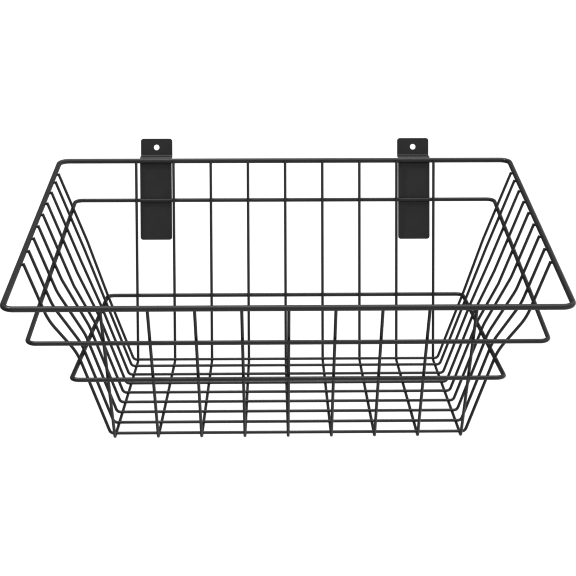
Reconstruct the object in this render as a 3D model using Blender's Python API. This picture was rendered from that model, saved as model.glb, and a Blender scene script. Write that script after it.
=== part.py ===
"""Slatwall wire basket: a welded wire basket with two sheet metal wall brackets.

Three closed rings stand outside a grid of thinner wires. The cross wires run
front to back under the floor and up both the front and the back wall. The long
wires run side to side on top of the cross wires and up both side walls. The
rim and the middle ring fall towards the front, and the lower ring is level.

Metres, +Z up. The front of the basket faces -Y and +X is to the right. The
origin lies on the standing surface, under the middle of the basket's box.
While the pieces are laid out, Y is zero where the line of the back wall meets
the line of the floor, and Z is zero on the standing surface.
"""

import math

import bpy
from mathutils import Matrix, Vector

# Wire diameters
RIM_WIRE = 0.00635
RING_WIRE = 0.0049
GRID_WIRE = 0.0034

# Clearance left at each weld between two wires, or a wire and a bracket
WELD_GAP = 0.0003

# Floor, between the points where the lines of the walls meet the line of the floor
FLOOR_LENGTH = 0.3148

# Leans of the walls, away from upright
BACK_LEAN = math.radians(9.66)
FRONT_LEAN = math.radians(31.6)
SIDE_LEAN = math.radians(20.0)

# Fall of the rim and of the middle ring towards the front, below level
RIM_FALL = math.radians(9.72)
LEVEL = 0

# Heights of the centres of the rings' back bars above the standing surface
RIM_HEIGHT = 0.2672
MIDDLE_RING_HEIGHT = 0.2152
LOWER_RING_HEIGHT = 0.0886

# Widths of the rings between the centre lines of their side bars
RIM_WIDTH = 0.605
MIDDLE_RING_WIDTH = 0.5646
LOWER_RING_WIDTH = 0.4803

# Corner radii of the rings, on the centre line
RIM_CORNER = 0.0125
RING_CORNER = 0.010

# Cross wires
CROSS_COUNT = 9
CROSS_PITCH = 0.050
CROSS_BEND = 0.006

# Long wires: the first and the last lie where the bends of the cross wires end, and all of
# them end a little above the centre of the rim's side bars
LONG_COUNT = 9
FIRST_LONG_GAP = 0.0306
LONG_CORNER = 0.0055
LONG_TOP_ABOVE_RIM = 0.0016

# Knees that take a long wire inwards, one below the middle ring and one above the lower ring.
# The long wires of the rear group run straight for longer than those of the front group.
REAR_GROUP_COUNT = 5
REAR_KNEE_BELOW_MIDDLE = 0.038
REAR_KNEE_ABOVE_LOWER = 0.008
REAR_KNEE_RADIUS = 0.030
FRONT_KNEE_BELOW_MIDDLE = 0.014
FRONT_KNEE_ABOVE_LOWER = 0.0135
FRONT_KNEE_RADIUS = 0.070

# Brackets, measured on the middle of the sheet and from the centre of the rim's back bar
BRACKET_SPACING = 0.3486
BRACKET_WIDTH = 0.0423
BRACKET_SHEET = 0.002
BRACKET_CORNER = 0.0035
BRACKET_BEND = 0.0035
PLATE_BELOW_RIM = 0.106
STEP_ABOVE_RIM = 0.0045
STEP_RISE = 0.002
STEP_BACK = 0.0164
TAB_ABOVE_RIM = 0.031
HOLE_ABOVE_RIM = 0.0193
HOLE_DIAMETER = 0.0078
CUT_OVERRUN = 0.002

# A corner that turns by less than this has no arc
STRAIGHT_ENOUGH = math.radians(1.0)

# Edges of the sheet that turn by more than this stay sharp
SHARP_EDGE = math.radians(30.0)

# Counts of flats on curved shapes
RING_BEVEL_STEPS = 4
GRID_BEVEL_STEPS = 2
CORNER_STEPS = 6
KNEE_STEPS = 4
SHEET_BEND_STEPS = 4
SHEET_CORNER_STEPS = 5
HOLE_SIDES = 28

# Colour of the satin black powder coat
COAT_COLOUR = (0.028, 0.028, 0.029, 1.0)
COAT_ROUGHNESS = 0.42
COAT_METALLIC = 0.0

# Height of the centre line of the cross wires and of the long wires on the floor
CROSS_FLOOR_HEIGHT = GRID_WIRE / 2
LONG_FLOOR_HEIGHT = CROSS_FLOOR_HEIGHT + GRID_WIRE + WELD_GAP


def clear_scene():
    """Remove every object that the file opens with."""
    for item in list(bpy.data.objects):
        bpy.data.objects.remove(item, do_unlink=True)


def coat_material(name):
    """Satin black powder coat."""
    material = bpy.data.materials.new(name)
    material.use_nodes = True
    shader = material.node_tree.nodes["Principled BSDF"]
    shader.inputs["Base Color"].default_value = COAT_COLOUR
    shader.inputs["Roughness"].default_value = COAT_ROUGHNESS
    shader.inputs["Metallic"].default_value = COAT_METALLIC
    return material


def add_object(name, data, parent, location=(0, 0, 0)):
    """Link one named object under its parent."""
    item = bpy.data.objects.new(name, data)
    bpy.context.scene.collection.objects.link(item)
    item.parent = parent
    item.location = location
    return item


def corner_arc(before, corner, after, radius, steps):
    """Points of the arc that rounds one corner of a path, within half of each leg."""
    inward = (before - corner).normalized()
    outward = (after - corner).normalized()
    opening = inward.angle(outward)
    turn = math.pi - opening
    if turn < STRAIGHT_ENOUGH:
        return [corner]
    shorter_leg = min((before - corner).length, (after - corner).length)
    radius = min(radius, shorter_leg / 2 * math.tan(opening / 2))
    start = corner + inward * (radius / math.tan(opening / 2))
    centre = corner + (inward + outward).normalized() * (radius / math.sin(opening / 2))
    axis = outward.cross(inward).normalized()
    points = []
    for step in range(steps + 1):
        spin = Matrix.Rotation(turn * step / steps, 3, axis)
        points.append(centre + spin @ (start - centre))
    return points


def rounded_loop(corners, radius, steps):
    """Points of a closed path with all its corners rounded alike."""
    points = []
    for index, corner in enumerate(corners):
        before = corners[index - 1]
        after = corners[(index + 1) % len(corners)]
        points += corner_arc(before, corner, after, radius, steps)
    return points


def rounded_run(corners, radii, steps):
    """Points of an open path, one radius and one step count for each inner corner."""
    points = [corners[0]]
    for index, corner in enumerate(corners[1:-1]):
        arc = corner_arc(corners[index], corner, corners[index + 2], radii[index], steps[index])
        points += arc
    points.append(corners[-1])
    return points


def wire_curve(name, points, diameter, bevel_steps, material, closed=False):
    """Round wire along a path: a curve with a round bevel and filled ends."""
    curve = bpy.data.curves.new(name, "CURVE")
    curve.dimensions = "3D"
    curve.twist_mode = "MINIMUM"
    curve.render_resolution_u = 0
    curve.bevel_depth = diameter / 2
    curve.bevel_resolution = bevel_steps
    curve.use_fill_caps = not closed
    spline = curve.splines.new("POLY")
    spline.points.add(len(points) - 1)
    for target, point in zip(spline.points, points):
        target.co = (point.x, point.y, point.z, 1)
    spline.use_cyclic_u = closed
    curve.materials.append(material)
    return curve


def ring_spacing(wire):
    """Distance between the centre lines of a ring and of a grid wire welded inside it."""
    return (wire + GRID_WIRE) / 2 + WELD_GAP


def back_line(height):
    """Y of the cross wires' centre line on the back wall."""
    return (height - CROSS_FLOOR_HEIGHT) * math.tan(BACK_LEAN)


def front_line(height):
    """Y of the cross wires' centre line on the front wall."""
    return -FLOOR_LENGTH - (height - CROSS_FLOOR_HEIGHT) * math.tan(FRONT_LEAN)


def ring_bars(height, fall, wire):
    """Centres, in Y and Z, of a ring's back bar and front bar, just outside the cross wires."""
    spacing = ring_spacing(wire)
    back_y = back_line(height) + spacing / math.cos(BACK_LEAN)
    slope = math.tan(fall)
    steepness = math.tan(FRONT_LEAN)
    level_y = front_line(height - back_y * slope) - spacing / math.cos(FRONT_LEAN)
    front_y = level_y / (1 + steepness * slope)
    front_z = height - (back_y - front_y) * slope
    return Vector((0, back_y, height)), Vector((0, front_y, front_z))


def ring_height_at(bars, y):
    """Height of a ring's side bars at one distance from the back."""
    back, front = bars
    share = (y - back.y) / (front.y - back.y)
    return back.z + (front.z - back.z) * share


RIM_BARS = ring_bars(RIM_HEIGHT, RIM_FALL, RIM_WIRE)
MIDDLE_BARS = ring_bars(MIDDLE_RING_HEIGHT, RIM_FALL, RING_WIRE)
LOWER_BARS = ring_bars(LOWER_RING_HEIGHT, LEVEL, RING_WIRE)


def make_ring(name, bars, width, corner_radius, wire, material, parent):
    """Closed ring: a rectangle with round corners, placed by its back bar."""
    back, front = bars
    half = Vector((width / 2, 0, 0))
    run = front - back
    corners = [half, half + run, run - half, -half]
    points = rounded_loop(corners, corner_radius, CORNER_STEPS)
    curve = wire_curve(name, points, wire, RING_BEVEL_STEPS, material, closed=True)
    return add_object(name, curve, parent, back)


def make_rings(material, parent):
    """Rim, middle ring and lower ring."""
    make_ring("rim", RIM_BARS, RIM_WIDTH, RIM_CORNER, RIM_WIRE, material, parent)
    make_ring("middle_ring", MIDDLE_BARS, MIDDLE_RING_WIDTH, RING_CORNER, RING_WIRE, material, parent)
    make_ring("lower_ring", LOWER_BARS, LOWER_RING_WIDTH, RING_CORNER, RING_WIRE, material, parent)


def cross_wire_points():
    """Path of a cross wire: up the back wall, along the floor, up the front wall."""
    back_top = RIM_BARS[0].z
    front_top = RIM_BARS[1].z
    corners = [
        Vector((0, back_line(back_top), back_top)),
        Vector((0, 0, CROSS_FLOOR_HEIGHT)),
        Vector((0, -FLOOR_LENGTH, CROSS_FLOOR_HEIGHT)),
        Vector((0, front_line(front_top), front_top)),
    ]
    return rounded_run(corners, [CROSS_BEND] * 2, [CORNER_STEPS] * 2)


def make_cross_wires(material, parent):
    """Cross wires at an even pitch over the width, all of one shape."""
    curve = wire_curve("cross_wire", cross_wire_points(), GRID_WIRE, GRID_BEVEL_STEPS, material)
    for index in range(CROSS_COUNT):
        offset = (index - (CROSS_COUNT - 1) / 2) * CROSS_PITCH
        add_object(f"cross_wire_{index + 1}", curve, parent, (offset, 0, 0))


def bend_length(turn):
    """Length of floor that a cross wire's bend takes up, for its turn out of the floor."""
    return CROSS_BEND * math.tan(turn / 2)


def long_wire_places():
    """Y of each long wire, from the back wall to the front wall."""
    first = -bend_length(math.pi / 2 - BACK_LEAN)
    last = -FLOOR_LENGTH + bend_length(math.pi / 2 - FRONT_LEAN)
    second = first - FIRST_LONG_GAP
    pitch = (second - last) / (LONG_COUNT - 2)
    return [first] + [second - pitch * index for index in range(LONG_COUNT - 1)]


def side_contact(width, wire):
    """X of a long wire's centre line where it passes inside a ring's side bar."""
    return width / 2 - ring_spacing(wire) / math.cos(SIDE_LEAN)


def long_wire_points(y, below_middle, above_lower, knee_radius):
    """Path of the long wire at one distance from the back, in its own upright plane."""
    rim_z = ring_height_at(RIM_BARS, y)
    middle_z = ring_height_at(MIDDLE_BARS, y)
    lower_z = ring_height_at(LOWER_BARS, y)
    rim_x = side_contact(RIM_WIDTH, RIM_WIRE)
    middle_x = side_contact(MIDDLE_RING_WIDTH, RING_WIRE)
    lower_x = side_contact(LOWER_RING_WIDTH, RING_WIRE)
    upper_slope = (rim_x - middle_x) / (rim_z - middle_z)
    lower_slope = math.tan(SIDE_LEAN)
    floor_x = lower_x - lower_slope * (lower_z - LONG_FLOOR_HEIGHT)
    right_side = [
        Vector((floor_x, 0, LONG_FLOOR_HEIGHT)),
        Vector((lower_x + lower_slope * above_lower, 0, lower_z + above_lower)),
        Vector((middle_x - upper_slope * below_middle, 0, middle_z - below_middle)),
        Vector((rim_x + upper_slope * LONG_TOP_ABOVE_RIM, 0, rim_z + LONG_TOP_ABOVE_RIM)),
    ]
    left_side = [Vector((-point.x, 0, point.z)) for point in reversed(right_side)]
    knee_radii = [knee_radius] * 2
    knee_steps = [KNEE_STEPS] * 2
    radii = knee_radii + [LONG_CORNER] * 2 + knee_radii
    steps = knee_steps + [CORNER_STEPS] * 2 + knee_steps
    return rounded_run(left_side + right_side, radii, steps)


def make_long_wires(material, parent):
    """Long wires, each bent to the height of the middle ring where it stands."""
    for index, y in enumerate(long_wire_places()):
        name = f"long_wire_{index + 1}"
        if index < REAR_GROUP_COUNT:
            knees = (REAR_KNEE_BELOW_MIDDLE, REAR_KNEE_ABOVE_LOWER, REAR_KNEE_RADIUS)
        else:
            knees = (FRONT_KNEE_BELOW_MIDDLE, FRONT_KNEE_ABOVE_LOWER, FRONT_KNEE_RADIUS)
        points = long_wire_points(y, *knees)
        curve = wire_curve(name, points, GRID_WIRE, GRID_BEVEL_STEPS, material)
        add_object(name, curve, parent, (0, y, 0))


def bracket_axes():
    """Upward and backward directions of the plate that lies on both back bars."""
    between = RIM_BARS[0] - MIDDLE_BARS[0]
    lean = math.atan2(between.y, between.z)
    lean += math.asin((RIM_WIRE - RING_WIRE) / 2 / between.length)
    up = Vector((0, math.sin(lean), math.cos(lean)))
    back = Vector((0, math.cos(lean), -math.sin(lean)))
    return up, back


def bracket_path():
    """Middle line of the sheet: plate, step back, and tab, from the bottom up."""
    plate_back = RIM_WIRE / 2 + WELD_GAP + BRACKET_SHEET / 2
    tab_back = plate_back + STEP_BACK
    stations = [
        (plate_back, -PLATE_BELOW_RIM),
        (plate_back, STEP_ABOVE_RIM),
        (tab_back, STEP_ABOVE_RIM + STEP_RISE),
        (tab_back, TAB_ABOVE_RIM),
    ]
    corners = [Vector((0, back, up)) for back, up in stations]
    return rounded_run(corners, [BRACKET_BEND] * 2, [SHEET_BEND_STEPS] * 2)


def end_stations(end, inner):
    """Places and half widths along the sheet where its two end corners are rounded."""
    direction = (inner - end).normalized()
    stations = []
    for step in range(SHEET_CORNER_STEPS + 1):
        angle = math.pi / 2 * step / SHEET_CORNER_STEPS
        depth = BRACKET_CORNER * (1 - math.cos(angle))
        half = BRACKET_WIDTH / 2 - BRACKET_CORNER * (1 - math.sin(angle))
        stations.append((end + direction * depth, half))
    return stations


def bracket_stations():
    """All places along the sheet with the half width of the sheet there."""
    path = bracket_path()
    start = end_stations(path[0], path[1])
    finish = end_stations(path[-1], path[-2])
    middle = [(point, BRACKET_WIDTH / 2) for point in path[1:-1]]
    return start + middle + finish[::-1]


def sheet_normals(points):
    """Unit normals, towards the back, of the line through the points."""
    normals = []
    for index in range(len(points)):
        before = points[max(index - 1, 0)]
        after = points[min(index + 1, len(points) - 1)]
        along = (after - before).normalized()
        normals.append(Vector((0, along.z, -along.y)))
    return normals


def bracket_mesh(material):
    """Bent sheet as one closed mesh, in its own axes of width, back and up."""
    stations = bracket_stations()
    normals = sheet_normals([point for point, half in stations])
    vertices = []
    for (point, half), normal in zip(stations, normals):
        side = Vector((half, 0, 0))
        depth = normal * (BRACKET_SHEET / 2)
        vertices += [point - side - depth, point + side - depth, point + side + depth, point - side + depth]
    corners = range(4)
    faces = [tuple(corners)]
    for index in range(len(stations) - 1):
        low = 4 * index
        high = low + 4
        for corner in corners:
            follow = (corner + 1) % 4
            faces.append((low + follow, low + corner, high + corner, high + follow))
    top = 4 * (len(stations) - 1)
    faces.append(tuple(top + corner for corner in reversed(corners)))
    mesh = bpy.data.meshes.new("bracket")
    mesh.from_pydata([tuple(vertex) for vertex in vertices], [], faces)
    mesh.materials.append(material)
    mesh.shade_smooth()
    mesh.set_sharp_from_angle(angle=SHARP_EDGE)
    return mesh


def hole_cutter(name, parent):
    """Round cutter for the hole in a bracket's tab, in the bracket's own axes."""
    half_depth = BRACKET_SHEET / 2 + CUT_OVERRUN
    tab_back = RIM_WIRE / 2 + WELD_GAP + BRACKET_SHEET / 2 + STEP_BACK
    radius = HOLE_DIAMETER / 2
    rim = []
    for index in range(HOLE_SIDES):
        angle = 2 * math.pi * index / HOLE_SIDES
        rim.append((radius * math.cos(angle), HOLE_ABOVE_RIM + radius * math.sin(angle)))
    near = [(x, tab_back - half_depth, z) for x, z in rim]
    far = [(x, tab_back + half_depth, z) for x, z in rim]
    faces = [tuple(range(HOLE_SIDES)), tuple(reversed(range(HOLE_SIDES, 2 * HOLE_SIDES)))]
    for index in range(HOLE_SIDES):
        follow = (index + 1) % HOLE_SIDES
        faces.append((follow, index, HOLE_SIDES + index, HOLE_SIDES + follow))
    mesh = bpy.data.meshes.new(name)
    mesh.from_pydata(near + far, [], faces)
    cutter = add_object(name, mesh, parent)
    cutter.hide_render = True
    cutter.display_type = "WIRE"
    return cutter


def make_brackets(material, parent):
    """Left and right bracket, standing behind the back bars of the rim and the middle ring."""
    up, back = bracket_axes()
    mesh = bracket_mesh(material)
    turn = Matrix((Vector((1, 0, 0)), back, up)).transposed().to_euler()
    for side, name in ((-1, "left_bracket"), (1, "right_bracket")):
        place = RIM_BARS[0] + Vector((side * BRACKET_SPACING / 2, 0, 0))
        bracket = add_object(name, mesh, parent, place)
        bracket.rotation_euler = turn
        cutter = hole_cutter(f"{name}_hole_cutter", bracket)
        cut = bracket.modifiers.new("hole", "BOOLEAN")
        cut.operation = "DIFFERENCE"
        cut.solver = "EXACT"
        cut.object = cutter


def visible_bounds():
    """Lowest and highest corner of all visible objects, as evaluated."""
    bpy.context.view_layer.update()
    graph = bpy.context.evaluated_depsgraph_get()
    corners = []
    for item in bpy.context.scene.objects:
        if item.hide_render or item.type == "EMPTY":
            continue
        shape = item.evaluated_get(graph)
        mesh = shape.to_mesh()
        corners += [shape.matrix_world @ vertex.co for vertex in mesh.vertices]
        shape.to_mesh_clear()
    lowest = Vector([min(corner[axis] for corner in corners) for axis in range(3)])
    highest = Vector([max(corner[axis] for corner in corners) for axis in range(3)])
    return lowest, highest


def main():
    clear_scene()
    coat = coat_material("powder_coat")
    frame = add_object("basket_frame", None, None)
    make_rings(coat, frame)
    make_cross_wires(coat, frame)
    make_long_wires(coat, frame)
    make_brackets(coat, frame)
    lowest, highest = visible_bounds()
    middle = (lowest + highest) / 2
    frame.location = (-middle.x, -middle.y, -lowest.z)
    bpy.context.view_layer.update()


main()
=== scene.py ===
"""Looks of the slatwall wire basket: fine round wires, welds, brackets and a satin powder coat.

Metres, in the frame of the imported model: +Z up, and the front of the basket faces -Y.
While the pieces are laid out, Y is zero where the line of the back wall meets the line
of the floor, as in the model's own layout. The lower ring then says how far that layout
lies from the frame.
"""

import math
import random

import bmesh
import bpy
from mathutils import Matrix, Vector, geometry


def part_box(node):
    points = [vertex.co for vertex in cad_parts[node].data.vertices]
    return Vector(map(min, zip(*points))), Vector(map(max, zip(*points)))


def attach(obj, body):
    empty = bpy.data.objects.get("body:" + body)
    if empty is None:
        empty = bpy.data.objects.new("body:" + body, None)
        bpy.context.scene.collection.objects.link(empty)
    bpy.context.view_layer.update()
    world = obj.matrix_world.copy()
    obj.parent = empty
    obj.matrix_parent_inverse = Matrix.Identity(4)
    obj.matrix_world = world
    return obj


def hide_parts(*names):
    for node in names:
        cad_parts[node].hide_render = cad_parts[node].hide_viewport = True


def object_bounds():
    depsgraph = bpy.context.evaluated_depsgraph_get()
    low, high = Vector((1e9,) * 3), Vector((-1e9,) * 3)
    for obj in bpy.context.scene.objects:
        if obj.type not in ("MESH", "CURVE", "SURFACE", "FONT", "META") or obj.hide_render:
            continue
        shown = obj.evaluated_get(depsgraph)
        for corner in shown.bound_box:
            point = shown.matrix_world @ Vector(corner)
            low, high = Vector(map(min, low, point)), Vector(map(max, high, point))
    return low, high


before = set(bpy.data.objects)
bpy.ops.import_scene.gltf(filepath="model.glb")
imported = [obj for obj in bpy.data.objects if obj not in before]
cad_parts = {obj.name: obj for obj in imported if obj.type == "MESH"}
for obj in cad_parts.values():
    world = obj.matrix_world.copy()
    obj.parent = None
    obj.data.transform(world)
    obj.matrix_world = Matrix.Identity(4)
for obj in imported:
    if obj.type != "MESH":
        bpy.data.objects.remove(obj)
cad_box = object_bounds()

# Wire diameters
RIM_WIRE = 0.00635
RING_WIRE = 0.0049
GRID_WIRE = 0.0034

# Clearance that each weld bridges
WELD_GAP = 0.0003

# Floor and leans of the walls
FLOOR_LENGTH = 0.3148
BACK_LEAN = math.radians(9.66)
FRONT_LEAN = math.radians(31.6)
SIDE_LEAN = math.radians(20.0)
RIM_FALL = math.radians(9.72)
LEVEL = 0

# Rings: heights of their back bars, widths and corner radii, on their centre lines
RIM_HEIGHT = 0.2672
MIDDLE_RING_HEIGHT = 0.2152
LOWER_RING_HEIGHT = 0.0886
RIM_WIDTH = 0.605
MIDDLE_RING_WIDTH = 0.5646
LOWER_RING_WIDTH = 0.4803
RIM_CORNER = 0.0125
RING_CORNER = 0.010

# Cross wires
CROSS_COUNT = 9
CROSS_PITCH = 0.050
CROSS_BEND = 0.006

# Long wires and their knees
LONG_COUNT = 9
FIRST_LONG_GAP = 0.0306
LONG_CORNER = 0.0055
LONG_TOP_ABOVE_RIM = 0.0016
REAR_GROUP_COUNT = 5
REAR_KNEE_BELOW_MIDDLE = 0.038
REAR_KNEE_ABOVE_LOWER = 0.008
REAR_KNEE_RADIUS = 0.030
FRONT_KNEE_BELOW_MIDDLE = 0.014
FRONT_KNEE_ABOVE_LOWER = 0.0135
FRONT_KNEE_RADIUS = 0.070

# Brackets, measured on the middle of the sheet and from the centre of the rim's back bar
BRACKET_SPACING = 0.3486
BRACKET_WIDTH = 0.0423
BRACKET_SHEET = 0.002
BRACKET_CORNER = 0.0035
BRACKET_BEND = 0.0035
PLATE_BELOW_RIM = 0.106
STEP_ABOVE_RIM = 0.0045
STEP_RISE = 0.002
STEP_BACK = 0.0164
TAB_ABOVE_RIM = 0.031
HOLE_ABOVE_RIM = 0.0193
HOLE_DIAMETER = 0.0078
CUT_OVERRUN = 0.002

# Rounding of the wires' cut ends and of the sheet's cut edges
WIRE_END_ROUNDING = 0.0004
SHEET_EDGE_ROUNDING = 0.00035

# Counts of flats on the curved shapes
RIM_SIDES = 28
RING_SIDES = 24
GRID_SIDES = 18
CORNER_STEPS = 14
KNEE_STEPS = 10
END_STEPS = 3
SHEET_BEND_STEPS = 10
SHEET_CORNER_STEPS = 10
HOLE_SIDES = 56
EDGE_STEPS = 3
WELD_SIDES = 16
WELD_STEPS = 6
SEAM_STEPS = 6

# A corner that turns by less than this has no arc, and an edge that turns by more stays sharp
STRAIGHT_ENOUGH = math.radians(1.0)
SHARP_EDGE = math.radians(40.0)

# Shape of a weld between two wires, in shares of the radius of the thinner wire
WELD_DEPTH_SHARE = 0.45
WELD_LONG_SHARE = 1.25
WELD_SHORT_SHARE = 0.72
WELD_WAIST_SHARE = 0.66
WELD_VARIATION_SHARE = 0.12
WELD_SEED = 11

# Seams where a bracket lies on a bar: how far they reach on the plate, as a share of the
# bar's radius, up to which angle they climb on the bar, how far they end inside the plate's
# sides, how long their tapers are, how deep they sink in, and how thick their ends are
SEAM_REACH_SHARE = 0.66
SEAM_BAR_ANGLE = math.radians(38.0)
SEAM_INSET = 0.0016
SEAM_TAPER = 0.0014
SEAM_SINK = 0.0003
SEAM_END_SHARE = 0.35

# Powder coat: its tones with the shares of the pattern where they start, the sizes and
# octaves of its patterns, the depth of its relief, and its range of roughness
COAT_LOW_COLOUR = (0.0255, 0.0255, 0.0263, 1.0)
COAT_HIGH_COLOUR = (0.0295, 0.0295, 0.0303, 1.0)
COAT_LOW_SHARE = 0.35
COAT_HIGH_SHARE = 0.65
COAT_TONE_SIZE = 0.030
COAT_PEEL_SIZE = 0.0013
COAT_GRAIN_SIZE = 0.00035
COAT_TONE_OCTAVES = 3
COAT_FINE_OCTAVES = 2
COAT_PEEL_DEPTH = 0.000012
COAT_GRAIN_DEPTH = 0.000004
COAT_LOW_ROUGHNESS = 0.30
COAT_HIGH_ROUGHNESS = 0.38

# Camera, fitted to the photograph, whose pixels are counted from its top left corner. The
# sensor is in millimetres, and the angles are in radians.
PICTURE_SIDE = 576
FOCAL_PIXELS = 1531.0
CENTRE_PIXEL_X = 302.12
CENTRE_PIXEL_Y = 288.62
SENSOR_WIDTH = 36.0
CAMERA_PLACE = Vector((-0.0159, -1.81875, 0.5801))
CAMERA_YAW = -0.019
CAMERA_PITCH = 0.235

# Studio floor: length of its side, and its brightness
FLOOR_SIDE = 60.0
FLOOR_LEVEL = 1.0

# Brightness of the room before and behind the basket, for each height share, which is 0
# straight below, a half at the horizon and 1 straight above. One blends into the other while
# a direction's share backwards goes from minus to plus ROOM_TURN.
ROOM_BEFORE = (
    (0.0, 1.7),
    (0.35, 1.7),
    (0.50, 1.15),
    (0.58, 1.25),
    (0.77, 1.35),
    (0.90, 2.1),
    (0.96, 4.2),
    (1.0, 5.0),
)
ROOM_BEHIND = (
    (0.0, 1.5),
    (0.40, 0.6),
    (0.50, 0.06),
    (0.75, 0.30),
    (0.90, 1.6),
    (1.0, 5.0),
)
ROOM_TURN = 0.35

# Side walls of the room: their brightness, and the sideways shares of a direction between
# which they fade in
LEFT_WALL = 0.5
RIGHT_WALL = 1.7
WALL_START_SHARE = 0.15
WALL_END_SHARE = 0.70

# Lamp that puts small highlights on the bends of the rings: its direction and distance from
# the middle of the basket, its diameter, and its power in watts
LAMP_DIRECTION = Vector((-0.55, -0.22, 0.80))
LAMP_DISTANCE = 2.5
LAMP_DIAMETER = 0.3
LAMP_POWER = 36.0

# Film: a steeper curve than the plain one, and a narrow pixel filter
FILM_GAMMA = 0.65
FILM_FILTER_WIDTH = 1.2

# Height of the centre line of the cross wires and of the long wires on the floor
CROSS_FLOOR_HEIGHT = GRID_WIRE / 2
LONG_FLOOR_HEIGHT = CROSS_FLOOR_HEIGHT + GRID_WIRE + WELD_GAP

RIGHTWARDS = Vector((1, 0, 0))
BACKWARDS = Vector((0, 1, 0))
UPWARDS = Vector((0, 0, 1))


# Layout, as in the model

def corner_arc(before, corner, after, radius, steps):
    """Points of the arc that rounds one corner of a path, within half of each leg."""
    inward = (before - corner).normalized()
    outward = (after - corner).normalized()
    opening = inward.angle(outward)
    turn = math.pi - opening
    if turn < STRAIGHT_ENOUGH:
        return [corner]
    shorter_leg = min((before - corner).length, (after - corner).length)
    radius = min(radius, shorter_leg / 2 * math.tan(opening / 2))
    start = corner + inward * (radius / math.tan(opening / 2))
    centre = corner + (inward + outward).normalized() * (radius / math.sin(opening / 2))
    axis = outward.cross(inward).normalized()
    points = []
    for step in range(steps + 1):
        spin = Matrix.Rotation(turn * step / steps, 3, axis)
        points.append(centre + spin @ (start - centre))
    return points


def rounded_loop(corners, radius, steps):
    """Points of a closed path with all its corners rounded alike."""
    points = []
    for index, corner in enumerate(corners):
        before = corners[index - 1]
        after = corners[(index + 1) % len(corners)]
        points += corner_arc(before, corner, after, radius, steps)
    return points


def rounded_run(corners, radii, steps):
    """Points of an open path, one radius and one step count for each inner corner."""
    points = [corners[0]]
    for index, corner in enumerate(corners[1:-1]):
        points += corner_arc(corners[index], corner, corners[index + 2], radii[index], steps[index])
    points.append(corners[-1])
    return points


def ring_spacing(wire):
    """Distance between the centre lines of a ring and of a grid wire welded inside it."""
    return (wire + GRID_WIRE) / 2 + WELD_GAP


def back_line(height):
    """Y of the cross wires' centre line on the back wall."""
    return (height - CROSS_FLOOR_HEIGHT) * math.tan(BACK_LEAN)


def front_line(height):
    """Y of the cross wires' centre line on the front wall."""
    return -FLOOR_LENGTH - (height - CROSS_FLOOR_HEIGHT) * math.tan(FRONT_LEAN)


def ring_bars(height, fall, wire):
    """Centres, in Y and Z, of a ring's back bar and front bar, just outside the cross wires."""
    spacing = ring_spacing(wire)
    back_y = back_line(height) + spacing / math.cos(BACK_LEAN)
    slope = math.tan(fall)
    steepness = math.tan(FRONT_LEAN)
    level_y = front_line(height - back_y * slope) - spacing / math.cos(FRONT_LEAN)
    front_y = level_y / (1 + steepness * slope)
    front_z = height - (back_y - front_y) * slope
    return Vector((0, back_y, height)), Vector((0, front_y, front_z))


def ring_height_at(bars, y):
    """Height of a ring's side bars at one distance from the back."""
    back, front = bars
    share = (y - back.y) / (front.y - back.y)
    return back.z + (front.z - back.z) * share


RIM_BARS = ring_bars(RIM_HEIGHT, RIM_FALL, RIM_WIRE)
MIDDLE_BARS = ring_bars(MIDDLE_RING_HEIGHT, RIM_FALL, RING_WIRE)
LOWER_BARS = ring_bars(LOWER_RING_HEIGHT, LEVEL, RING_WIRE)

# Bars, width, corner radius, wire and count of flats of each ring, by the name of its node
RINGS = {
    "rim": (RIM_BARS, RIM_WIDTH, RIM_CORNER, RIM_WIRE, RIM_SIDES),
    "middle_ring": (MIDDLE_BARS, MIDDLE_RING_WIDTH, RING_CORNER, RING_WIRE, RING_SIDES),
    "lower_ring": (LOWER_BARS, LOWER_RING_WIDTH, RING_CORNER, RING_WIRE, RING_SIDES),
}

# From the layout to the frame, read off the back of the lower ring
FRAME_SHIFT = Vector((0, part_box("lower_ring")[1].y - LOWER_BARS[0].y - RING_WIRE / 2, 0))


def ring_corners(bars, width):
    """The four corners of a ring's centre line: back right, front right, front left, back left."""
    back, front = bars
    half = RIGHTWARDS * (width / 2)
    return [back + half, front + half, front - half, back - half]


def cross_wire_path(index):
    """Path of a cross wire: down the back wall, along the floor, up the front wall."""
    x = (index - (CROSS_COUNT - 1) / 2) * CROSS_PITCH
    back_top = RIM_BARS[0].z
    front_top = RIM_BARS[1].z
    corners = [
        Vector((x, back_line(back_top), back_top)),
        Vector((x, 0, CROSS_FLOOR_HEIGHT)),
        Vector((x, -FLOOR_LENGTH, CROSS_FLOOR_HEIGHT)),
        Vector((x, front_line(front_top), front_top)),
    ]
    return rounded_run(corners, [CROSS_BEND] * 2, [CORNER_STEPS] * 2)


def bend_length(turn):
    """Length of floor that a cross wire's bend takes up, for its turn out of the floor."""
    return CROSS_BEND * math.tan(turn / 2)


def long_wire_places():
    """Y of each long wire, from the back wall to the front wall."""
    first = -bend_length(math.pi / 2 - BACK_LEAN)
    last = -FLOOR_LENGTH + bend_length(math.pi / 2 - FRONT_LEAN)
    second = first - FIRST_LONG_GAP
    pitch = (second - last) / (LONG_COUNT - 2)
    return [first] + [second - pitch * index for index in range(LONG_COUNT - 1)]


def side_contact(width, wire):
    """X of a long wire's centre line where it passes inside a ring's side bar."""
    return width / 2 - ring_spacing(wire) / math.cos(SIDE_LEAN)


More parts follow.
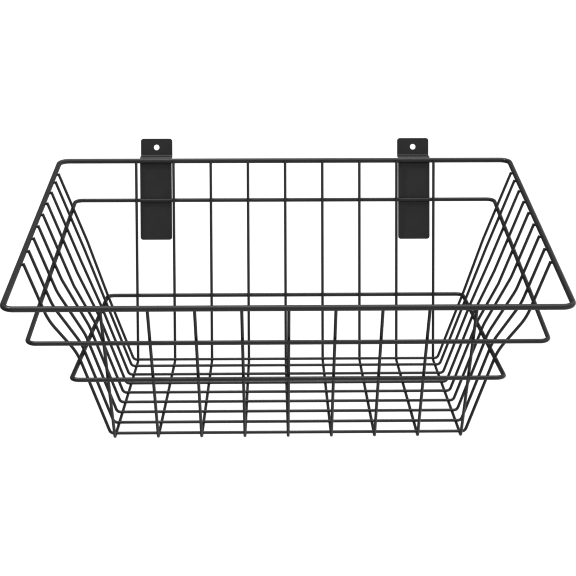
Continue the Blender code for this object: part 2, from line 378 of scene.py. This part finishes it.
def long_wire_path(index):
    """Path of a long wire, in its own upright plane."""
    y = long_wire_places()[index]
    if index < REAR_GROUP_COUNT:
        below_middle, above_lower = REAR_KNEE_BELOW_MIDDLE, REAR_KNEE_ABOVE_LOWER
        knee_radius = REAR_KNEE_RADIUS
    else:
        below_middle, above_lower = FRONT_KNEE_BELOW_MIDDLE, FRONT_KNEE_ABOVE_LOWER
        knee_radius = FRONT_KNEE_RADIUS
    rim_z = ring_height_at(RIM_BARS, y)
    middle_z = ring_height_at(MIDDLE_BARS, y)
    lower_z = ring_height_at(LOWER_BARS, y)
    rim_x = side_contact(RIM_WIDTH, RIM_WIRE)
    middle_x = side_contact(MIDDLE_RING_WIDTH, RING_WIRE)
    lower_x = side_contact(LOWER_RING_WIDTH, RING_WIRE)
    upper_slope = (rim_x - middle_x) / (rim_z - middle_z)
    lower_slope = math.tan(SIDE_LEAN)
    floor_x = lower_x - lower_slope * (lower_z - LONG_FLOOR_HEIGHT)
    right_side = [
        Vector((floor_x, y, LONG_FLOOR_HEIGHT)),
        Vector((lower_x + lower_slope * above_lower, y, lower_z + above_lower)),
        Vector((middle_x - upper_slope * below_middle, y, middle_z - below_middle)),
        Vector((rim_x + upper_slope * LONG_TOP_ABOVE_RIM, y, rim_z + LONG_TOP_ABOVE_RIM)),
    ]
    left_side = [Vector((-point.x, point.y, point.z)) for point in reversed(right_side)]
    radii = [knee_radius] * 2 + [LONG_CORNER] * 2 + [knee_radius] * 2
    steps = [KNEE_STEPS] * 2 + [CORNER_STEPS] * 2 + [KNEE_STEPS] * 2
    return rounded_run(left_side + right_side, radii, steps)


CROSS_PATHS = [cross_wire_path(index) for index in range(CROSS_COUNT)]
LONG_PATHS = [long_wire_path(index) for index in range(LONG_COUNT)]


# Making pieces

def link_piece(name, mesh_data, node=None):
    """Object of a finished mesh, riding on the basket, and standing for a node if it names one."""
    item = bpy.data.objects.new(name, mesh_data)
    bpy.context.scene.collection.objects.link(item)
    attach(item, "root")
    if node:
        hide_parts(node)


def mesh_from(name, build_mesh, material):
    """Smooth shaded mesh of finished geometry, moved from the layout to the frame."""
    bmesh.ops.translate(build_mesh, verts=build_mesh.verts, vec=FRAME_SHIFT)
    bmesh.ops.recalc_face_normals(build_mesh, faces=build_mesh.faces)
    mesh_data = bpy.data.meshes.new(name)
    build_mesh.to_mesh(mesh_data)
    build_mesh.free()
    mesh_data.materials.append(material)
    mesh_data.shade_smooth()
    mesh_data.set_sharp_from_angle(angle=SHARP_EDGE)
    return mesh_data


def add_ring(build_mesh, centre, first, second, sides):
    """Closed ring of vertices on an ellipse, whose half axes are first and second."""
    ring = []
    for side in range(sides):
        angle = 2 * math.pi * side / sides
        ring.append(build_mesh.verts.new(centre + first * math.cos(angle) + second * math.sin(angle)))
    return ring


def join_rings(build_mesh, low, high):
    """Band of faces between two rings of as many vertices."""
    for side in range(len(low)):
        follow = (side + 1) % len(low)
        build_mesh.faces.new((low[side], low[follow], high[follow], high[side]))


def join_all(build_mesh, rings, closed=False):
    """Skin over a row of rings: a loop, or a run with both ends filled."""
    for low, high in zip(rings, rings[1:]):
        join_rings(build_mesh, low, high)
    if closed:
        join_rings(build_mesh, rings[-1], rings[0])
    else:
        build_mesh.faces.new(rings[0])
        build_mesh.faces.new(rings[-1])


# Wires

def path_directions(points, closed):
    """Direction of a path at each of its points, halfway between its two legs."""
    count = len(points)
    directions = []
    for index, point in enumerate(points):
        before = points[index - 1] if closed or index > 0 else point
        after = points[(index + 1) % count] if closed or index < count - 1 else point
        directions.append(((point - before).normalized() + (after - point).normalized()).normalized())
    return directions


def rounded_end(point, inwards, radius):
    """Places and radii of the rings that round the edge of a wire's cut end."""
    stations = []
    for step in range(END_STEPS + 1):
        angle = math.pi / 2 * step / END_STEPS
        depth = WIRE_END_ROUNDING * (1 - math.cos(angle))
        inset = WIRE_END_ROUNDING * (1 - math.sin(angle))
        stations.append((point + inwards * depth, radius - inset))
    return stations


def add_wire(build_mesh, points, radius, sides, plane_normal, closed=False):
    """Round wire along a path that lies in one plane."""
    directions = path_directions(points, closed)
    stations = [(point, radius, direction) for point, direction in zip(points, directions)]
    if not closed:
        start = rounded_end(points[0], directions[0], radius)
        finish = rounded_end(points[-1], -directions[-1], radius)
        opening = [(point, width, directions[0]) for point, width in start]
        closing = [(point, width, directions[-1]) for point, width in reversed(finish)]
        stations = opening + stations[1:-1] + closing
    rings = []
    for point, width, direction in stations:
        across = direction.cross(plane_normal).normalized()
        rings.append(add_ring(build_mesh, point, across * width, plane_normal * width, sides))
    join_all(build_mesh, rings, closed)


def make_rings(material):
    """Rim, middle ring and lower ring as fine round bars."""
    for node, (bars, width, corner_radius, wire, sides) in RINGS.items():
        corners = ring_corners(bars, width)
        points = rounded_loop(corners, corner_radius, CORNER_STEPS)
        plane_normal = RIGHTWARDS.cross(bars[0] - bars[1]).normalized()
        build_mesh = bmesh.new()
        add_wire(build_mesh, points, wire / 2, sides, plane_normal, closed=True)
        link_piece(f"round_{node}", mesh_from(f"round_{node}", build_mesh, material), node)


def make_grid_wires(material):
    """Cross wires and long wires as fine round wires with slightly rounded ends."""
    families = (("cross_wire", CROSS_PATHS, RIGHTWARDS), ("long_wire", LONG_PATHS, BACKWARDS))
    for family, paths, plane_normal in families:
        for index, path in enumerate(paths):
            node = f"{family}_{index + 1}"
            build_mesh = bmesh.new()
            add_wire(build_mesh, path, GRID_WIRE / 2, GRID_SIDES, plane_normal)
            link_piece(f"round_{node}", mesh_from(f"round_{node}", build_mesh, material), node)


# Welds

def drawn_in(path, length):
    """The path without a length at each of its two ends."""
    start = path[0] + (path[1] - path[0]).normalized() * length
    finish = path[-1] + (path[-2] - path[-1]).normalized() * length
    return [start] + path[1:-1] + [finish]


def crossing(path, bar_start, bar_end):
    """Where a wire and a bar pass closest: a point on each, and the direction of each."""
    bar_direction = (bar_end - bar_start).normalized()
    best_distance = math.inf
    best = None
    for low, high in zip(path, path[1:]):
        leg = high - low
        on_leg, on_bar = geometry.intersect_line_line(low, high, bar_start, bar_end)
        share = min(max((on_leg - low).dot(leg) / leg.length_squared, 0), 1)
        on_leg = low + leg * share
        on_bar = geometry.intersect_point_line(on_leg, bar_start, bar_end)[0]
        distance = (on_leg - on_bar).length
        if distance < best_distance:
            best_distance = distance
            best = (on_leg, on_bar, leg.normalized(), bar_direction)
    return best


def add_weld(build_mesh, dice, found, bar_radius):
    """Small saddle of metal between a grid wire and the bar that it crosses."""
    wire_point, bar_point, wire_direction, bar_direction = found
    wire_radius = GRID_WIRE / 2
    between = bar_point - wire_point
    normal = between.normalized()
    start = wire_radius * (1 - WELD_DEPTH_SHARE)
    finish = between.length - bar_radius * (1 - WELD_DEPTH_SHARE)
    size = wire_radius * (1 + WELD_VARIATION_SHARE * dice.uniform(-1, 1))
    rings = []
    for step in range(WELD_STEPS + 1):
        share = step / WELD_STEPS
        flare = (2 * share - 1) ** 2
        along_end_share = WELD_LONG_SHARE if share < 0.5 else WELD_SHORT_SHARE
        across_end_share = WELD_SHORT_SHARE if share < 0.5 else WELD_LONG_SHARE
        along = size * (WELD_WAIST_SHARE + (along_end_share - WELD_WAIST_SHARE) * flare)
        across = size * (WELD_WAIST_SHARE + (across_end_share - WELD_WAIST_SHARE) * flare)
        centre = wire_point + normal * (start + (finish - start) * share)
        first = wire_direction * along
        second = bar_direction * across
        rings.append(add_ring(build_mesh, centre, first, second, WELD_SIDES))
    join_all(build_mesh, rings)


def make_floor_welds(material, dice):
    """Welds between the cross wires and the long wires on the floor."""
    build_mesh = bmesh.new()
    for cross_path in CROSS_PATHS:
        x = cross_path[0].x
        for y in long_wire_places():
            low = Vector((x, y, CROSS_FLOOR_HEIGHT))
            high = Vector((x, y, LONG_FLOOR_HEIGHT))
            add_weld(build_mesh, dice, (low, high, BACKWARDS, RIGHTWARDS), GRID_WIRE / 2)
    link_piece("floor_welds", mesh_from("floor_welds", build_mesh, material))


def make_wall_welds(material, dice):
    """Welds between the rings and the grid wires, one piece for each wall."""
    drawn = WELD_LONG_SHARE * GRID_WIRE / 2
    walls = (
        ("back_welds", CROSS_PATHS, 3, 0),
        ("front_welds", CROSS_PATHS, 1, 2),
        ("right_welds", LONG_PATHS, 0, 1),
        ("left_welds", LONG_PATHS, 2, 3),
    )
    for name, paths, first_corner, second_corner in walls:
        build_mesh = bmesh.new()
        for path in paths:
            wire = drawn_in(path, drawn)
            for bars, width, corner_radius, ring_wire, sides in RINGS.values():
                corners = ring_corners(bars, width)
                found = crossing(wire, corners[first_corner], corners[second_corner])
                add_weld(build_mesh, dice, found, ring_wire / 2)
        link_piece(name, mesh_from(name, build_mesh, material))


# Brackets

def bracket_axes():
    """Upward and backward directions of the plate that lies on both back bars."""
    between = RIM_BARS[0] - MIDDLE_BARS[0]
    lean = math.atan2(between.y, between.z)
    lean += math.asin((RIM_WIRE - RING_WIRE) / 2 / between.length)
    up = Vector((0, math.sin(lean), math.cos(lean)))
    back = Vector((0, math.cos(lean), -math.sin(lean)))
    return up, back


def bracket_place(side):
    """Matrix from a bracket's own axes of width, back and up to the layout."""
    up, back = bracket_axes()
    turn = Matrix((RIGHTWARDS, back, up)).transposed().to_4x4()
    centre = RIM_BARS[0] + RIGHTWARDS * (side * BRACKET_SPACING / 2)
    return Matrix.Translation(centre) @ turn


def bracket_path():
    """Middle line of the sheet: plate, step back, and tab, from the bottom up."""
    plate_back = RIM_WIRE / 2 + WELD_GAP + BRACKET_SHEET / 2
    tab_back = plate_back + STEP_BACK
    stations = [
        (plate_back, -PLATE_BELOW_RIM),
        (plate_back, STEP_ABOVE_RIM),
        (tab_back, STEP_ABOVE_RIM + STEP_RISE),
        (tab_back, TAB_ABOVE_RIM),
    ]
    corners = [Vector((0, back, up)) for back, up in stations]
    return rounded_run(corners, [BRACKET_BEND] * 2, [SHEET_BEND_STEPS] * 2)


def end_stations(end, inner):
    """Places and half widths along the sheet where its two end corners are rounded."""
    direction = (inner - end).normalized()
    stations = []
    for step in range(SHEET_CORNER_STEPS + 1):
        angle = math.pi / 2 * step / SHEET_CORNER_STEPS
        depth = BRACKET_CORNER * (1 - math.cos(angle))
        half = BRACKET_WIDTH / 2 - BRACKET_CORNER * (1 - math.sin(angle))
        stations.append((end + direction * depth, half))
    return stations


def bracket_stations():
    """All places along the sheet with the half width of the sheet there."""
    path = bracket_path()
    start = end_stations(path[0], path[1])
    finish = end_stations(path[-1], path[-2])
    middle = [(point, BRACKET_WIDTH / 2) for point in path[1:-1]]
    return start + middle + finish[::-1]


def add_bracket_sheet(build_mesh):
    """Bent sheet with square edges, in the bracket's own axes."""
    stations = bracket_stations()
    points = [point for point, half in stations]
    rings = []
    for (point, half), direction in zip(stations, path_directions(points, False)):
        depth = Vector((0, direction.z, -direction.y)) * (BRACKET_SHEET / 2)
        side = RIGHTWARDS * half
        corners = (
            point - side - depth,
            point + side - depth,
            point + side + depth,
            point - side + depth,
        )
        rings.append([build_mesh.verts.new(corner) for corner in corners])
    join_all(build_mesh, rings)


def add_hole_cutter(build_mesh):
    """Round bar through the hole in the tab, in the bracket's own axes."""
    half_depth = BRACKET_SHEET / 2 + CUT_OVERRUN
    tab_back = RIM_WIRE / 2 + WELD_GAP + BRACKET_SHEET / 2 + STEP_BACK
    radius = HOLE_DIAMETER / 2
    rings = []
    for depth in (-half_depth, half_depth):
        centre = Vector((0, tab_back + depth, HOLE_ABOVE_RIM))
        rings.append(add_ring(build_mesh, centre, RIGHTWARDS * radius, UPWARDS * radius, HOLE_SIDES))
    join_all(build_mesh, rings)


def plain_object(name, add_shape):
    """Unshown helper object with the mesh that one function adds."""
    build_mesh = bmesh.new()
    add_shape(build_mesh)
    bmesh.ops.recalc_face_normals(build_mesh, faces=build_mesh.faces)
    mesh_data = bpy.data.meshes.new(name)
    build_mesh.to_mesh(mesh_data)
    build_mesh.free()
    mesh_data.shade_smooth()
    item = bpy.data.objects.new(name, mesh_data)
    bpy.context.scene.collection.objects.link(item)
    return item


def finished_bracket_mesh(material):
    """The sheet with its hole cut and all its edges rounded, in the bracket's own axes."""
    sheet = plain_object("sheet", add_bracket_sheet)
    cutter = plain_object("cutter", add_hole_cutter)
    cut = sheet.modifiers.new("hole", "BOOLEAN")
    cut.object = cutter
    bevel = sheet.modifiers.new("edges", "BEVEL")
    bevel.width = SHEET_EDGE_ROUNDING
    bevel.segments = EDGE_STEPS
    bevel.limit_method = "ANGLE"
    bevel.angle_limit = SHARP_EDGE
    sheet.modifiers.new("flat_faces", "WEIGHTED_NORMAL")
    graph = bpy.context.evaluated_depsgraph_get()
    finished = bpy.data.meshes.new_from_object(sheet.evaluated_get(graph))
    bpy.data.objects.remove(sheet)
    bpy.data.objects.remove(cutter)
    finished.materials.clear()
    finished.materials.append(material)
    return finished


def make_brackets(material):
    """Left and right bracket."""
    finished = finished_bracket_mesh(material)
    for node, side in (("left_bracket", -1), ("right_bracket", 1)):
        mesh_data = finished.copy()
        mesh_data.transform(Matrix.Translation(FRAME_SHIFT) @ bracket_place(side))
        mesh_data.name = f"round_edged_{node}"
        link_piece(f"round_edged_{node}", mesh_data, node)


def seam_half_outline(radius, bar_back, plate_front):
    """Upper half of a seam's section, from inside the sheet to inside the bar."""
    reach = radius * SEAM_REACH_SHARE
    rise = radius * math.sin(SEAM_BAR_ANGLE)
    on_bar = Vector((bar_back + radius * math.cos(SEAM_BAR_ANGLE), rise))
    corner = Vector((plate_front, rise - (plate_front - on_bar.x) / math.tan(SEAM_BAR_ANGLE)))
    on_plate = Vector((plate_front, reach))
    outline = [Vector((plate_front + SEAM_SINK, reach))]
    for step in range(SEAM_STEPS + 1):
        share = step / SEAM_STEPS
        near = on_plate.lerp(corner, share)
        far = corner.lerp(on_bar, share)
        outline.append(near.lerp(far, share))
    return outline


def add_seam(build_mesh, place, radius, bar_back, bar_up):
    """Seam along one bar, across the plate of one bracket, with tapered ends."""
    plate_front = RIM_WIRE / 2 + WELD_GAP
    upper = seam_half_outline(radius, bar_back, plate_front)
    lower = [Vector((point.x, -point.y)) for point in reversed(upper)]
    half = BRACKET_WIDTH / 2 - SEAM_INSET
    stations = (
        (-half, SEAM_END_SHARE),
        (-half + SEAM_TAPER, 1),
        (half - SEAM_TAPER, 1),
        (half, SEAM_END_SHARE),
    )
    rings = []
    for across, share in stations:
        ring = []
        for point in upper + lower:
            back = plate_front + (point.x - plate_front) * share
            up = bar_up + point.y * share
            ring.append(build_mesh.verts.new(place @ Vector((across, back, up))))
        rings.append(ring)
    join_all(build_mesh, rings)


def make_bracket_seams(material):
    """Seams between the plates and the back bars of the rim and the middle ring."""
    up, back = bracket_axes()
    offset = MIDDLE_BARS[0] - RIM_BARS[0]
    build_mesh = bmesh.new()
    for side in (-1, 1):
        place = bracket_place(side)
        add_seam(build_mesh, place, RIM_WIRE / 2, 0, 0)
        add_seam(build_mesh, place, RING_WIRE / 2, offset.dot(back), offset.dot(up))
    link_piece("bracket_seams", mesh_from("bracket_seams", build_mesh, material))


# Materials

def noise_node(nodes, links, coordinates, size, octaves):
    """Noise with patches of about one size, in metres."""
    noise = nodes.new("ShaderNodeTexNoise")
    noise.inputs["Scale"].default_value = 1 / size
    noise.inputs["Detail"].default_value = octaves
    links.new(coordinates.outputs["Object"], noise.inputs["Vector"])
    return noise


def powder_coat():
    """Satin black powder coat: slight orange peel, fine grain and a faint change of tone."""
    material = bpy.data.materials.new("powder_coat")
    material.use_nodes = True
    nodes = material.node_tree.nodes
    links = material.node_tree.links
    shader = nodes["Principled BSDF"]
    shader.inputs["Metallic"].default_value = 0
    coordinates = nodes.new("ShaderNodeTexCoord")

    tone = noise_node(nodes, links, coordinates, COAT_TONE_SIZE, COAT_TONE_OCTAVES)
    colours = nodes.new("ShaderNodeValToRGB")
    colours.color_ramp.elements[0].position = COAT_LOW_SHARE
    colours.color_ramp.elements[0].color = COAT_LOW_COLOUR
    colours.color_ramp.elements[1].position = COAT_HIGH_SHARE
    colours.color_ramp.elements[1].color = COAT_HIGH_COLOUR
    links.new(tone.outputs["Fac"], colours.inputs["Fac"])
    links.new(colours.outputs["Color"], shader.inputs["Base Color"])

    peel = noise_node(nodes, links, coordinates, COAT_PEEL_SIZE, COAT_FINE_OCTAVES)
    gloss = nodes.new("ShaderNodeMapRange")
    gloss.inputs["To Min"].default_value = COAT_LOW_ROUGHNESS
    gloss.inputs["To Max"].default_value = COAT_HIGH_ROUGHNESS
    links.new(peel.outputs["Fac"], gloss.inputs["Value"])
    links.new(gloss.outputs["Result"], shader.inputs["Roughness"])

    grain = noise_node(nodes, links, coordinates, COAT_GRAIN_SIZE, COAT_FINE_OCTAVES)
    peel_bump = nodes.new("ShaderNodeBump")
    peel_bump.inputs["Distance"].default_value = COAT_PEEL_DEPTH
    links.new(peel.outputs["Fac"], peel_bump.inputs["Height"])
    grain_bump = nodes.new("ShaderNodeBump")
    grain_bump.inputs["Distance"].default_value = COAT_GRAIN_DEPTH
    links.new(grain.outputs["Fac"], grain_bump.inputs["Height"])
    links.new(peel_bump.outputs["Normal"], grain_bump.inputs["Normal"])
    links.new(grain_bump.outputs["Normal"], shader.inputs["Normal"])
    return material


# Studio

def make_camera():
    """Camera where the photograph was taken from."""
    data = bpy.data.cameras.new("camera")
    data.sensor_width = SENSOR_WIDTH
    data.lens = SENSOR_WIDTH * FOCAL_PIXELS / PICTURE_SIDE
    data.shift_x = (PICTURE_SIDE / 2 - CENTRE_PIXEL_X) / PICTURE_SIDE
    data.shift_y = (CENTRE_PIXEL_Y - PICTURE_SIDE / 2) / PICTURE_SIDE
    camera = bpy.data.objects.new("camera", data)
    camera.location = CAMERA_PLACE
    camera.rotation_euler = (math.pi / 2 - CAMERA_PITCH, 0, CAMERA_YAW)
    bpy.context.scene.collection.objects.link(camera)
    bpy.context.scene.camera = camera


def room_ramp(nodes, links, height, levels):
    """Ramp of grey levels over the height share of a direction."""
    ramp = nodes.new("ShaderNodeValToRGB")
    elements = ramp.color_ramp.elements
    while len(elements) < len(levels):
        elements.new(1.0)
    for element, (share, level) in zip(elements, levels):
        element.position = share
        element.color = (level, level, level, 1.0)
    links.new(height.outputs["Result"], ramp.inputs["Fac"])
    return ramp


def add_side_wall(nodes, links, split, room, side, level):
    """The room with a wall of one level on one side, -1 for the left and 1 for the right."""
    fade = nodes.new("ShaderNodeMapRange")
    fade.interpolation_type = "SMOOTHSTEP"
    fade.inputs["From Min"].default_value = side * WALL_START_SHARE
    fade.inputs["From Max"].default_value = side * WALL_END_SHARE
    links.new(split.outputs["X"], fade.inputs["Value"])
    blend = nodes.new("ShaderNodeMix")
    blend.data_type = "RGBA"
    links.new(fade.outputs["Result"], blend.inputs["Factor"])
    links.new(room, blend.inputs["A"])
    blend.inputs["B"].default_value = (level, level, level, 1.0)
    return blend.outputs["Result"]


def make_world():
    """Studio room: light overhead, a dim wall behind, side walls, and a bright floor before."""
    world = bpy.data.worlds.new("studio")
    world.use_nodes = True
    nodes = world.node_tree.nodes
    links = world.node_tree.links
    coordinates = nodes.new("ShaderNodeTexCoord")
    split = nodes.new("ShaderNodeSeparateXYZ")
    links.new(coordinates.outputs["Generated"], split.inputs["Vector"])
    height = nodes.new("ShaderNodeMapRange")
    height.inputs["From Min"].default_value = -1
    links.new(split.outputs["Z"], height.inputs["Value"])
    turn = nodes.new("ShaderNodeMapRange")
    turn.interpolation_type = "SMOOTHSTEP"
    turn.inputs["From Min"].default_value = -ROOM_TURN
    turn.inputs["From Max"].default_value = ROOM_TURN
    links.new(split.outputs["Y"], turn.inputs["Value"])
    before = room_ramp(nodes, links, height, ROOM_BEFORE)
    behind = room_ramp(nodes, links, height, ROOM_BEHIND)
    blend = nodes.new("ShaderNodeMix")
    blend.data_type = "RGBA"
    links.new(turn.outputs["Result"], blend.inputs["Factor"])
    links.new(before.outputs["Color"], blend.inputs["A"])
    links.new(behind.outputs["Color"], blend.inputs["B"])
    room = add_side_wall(nodes, links, split, blend.outputs["Result"], -1, LEFT_WALL)
    room = add_side_wall(nodes, links, split, room, 1, RIGHT_WALL)
    links.new(room, nodes["Background"].inputs["Color"])
    bpy.context.scene.world = world


def make_lamp():
    """Round lamp overhead, aimed at the middle of the basket."""
    middle = (cad_box[0] + cad_box[1]) / 2
    direction = LAMP_DIRECTION.normalized()
    data = bpy.data.lights.new("lamp", "AREA")
    data.shape = "DISK"
    data.size = LAMP_DIAMETER
    data.energy = LAMP_POWER
    lamp = bpy.data.objects.new("lamp", data)
    lamp.location = middle + direction * LAMP_DISTANCE
    lamp.rotation_euler = direction.to_track_quat("Z", "Y").to_euler()
    bpy.context.scene.collection.objects.link(lamp)


def make_floor():
    """Plain white floor, seen by the camera alone."""
    build_mesh = bmesh.new()
    bmesh.ops.create_grid(build_mesh, x_segments=1, y_segments=1, size=FLOOR_SIDE / 2)
    data = bpy.data.meshes.new("floor")
    build_mesh.to_mesh(data)
    build_mesh.free()
    material = bpy.data.materials.new("floor")
    material.use_nodes = True
    shader = material.node_tree.nodes["Principled BSDF"]
    shader.inputs["Base Color"].default_value = (0, 0, 0, 1)
    shader.inputs["Emission Color"].default_value = (1, 1, 1, 1)
    shader.inputs["Emission Strength"].default_value = FLOOR_LEVEL
    data.materials.append(material)
    floor = bpy.data.objects.new("floor", data)
    floor.visible_diffuse = False
    floor.visible_glossy = False
    floor.visible_shadow = False
    bpy.context.scene.collection.objects.link(floor)


def make_studio():
    """Camera, room, lamp and floor."""
    make_camera()
    make_world()
    make_lamp()
    make_floor()
    scene = bpy.context.scene
    scene.view_settings.view_transform = "Standard"
    scene.view_settings.gamma = FILM_GAMMA
    scene.cycles.filter_width = FILM_FILTER_WIDTH


coat = powder_coat()
weld_dice = random.Random(WELD_SEED)
make_rings(coat)
make_grid_wires(coat)
make_floor_welds(coat, weld_dice)
make_wall_welds(coat, weld_dice)
make_brackets(coat)
make_bracket_seams(coat)
make_studio()
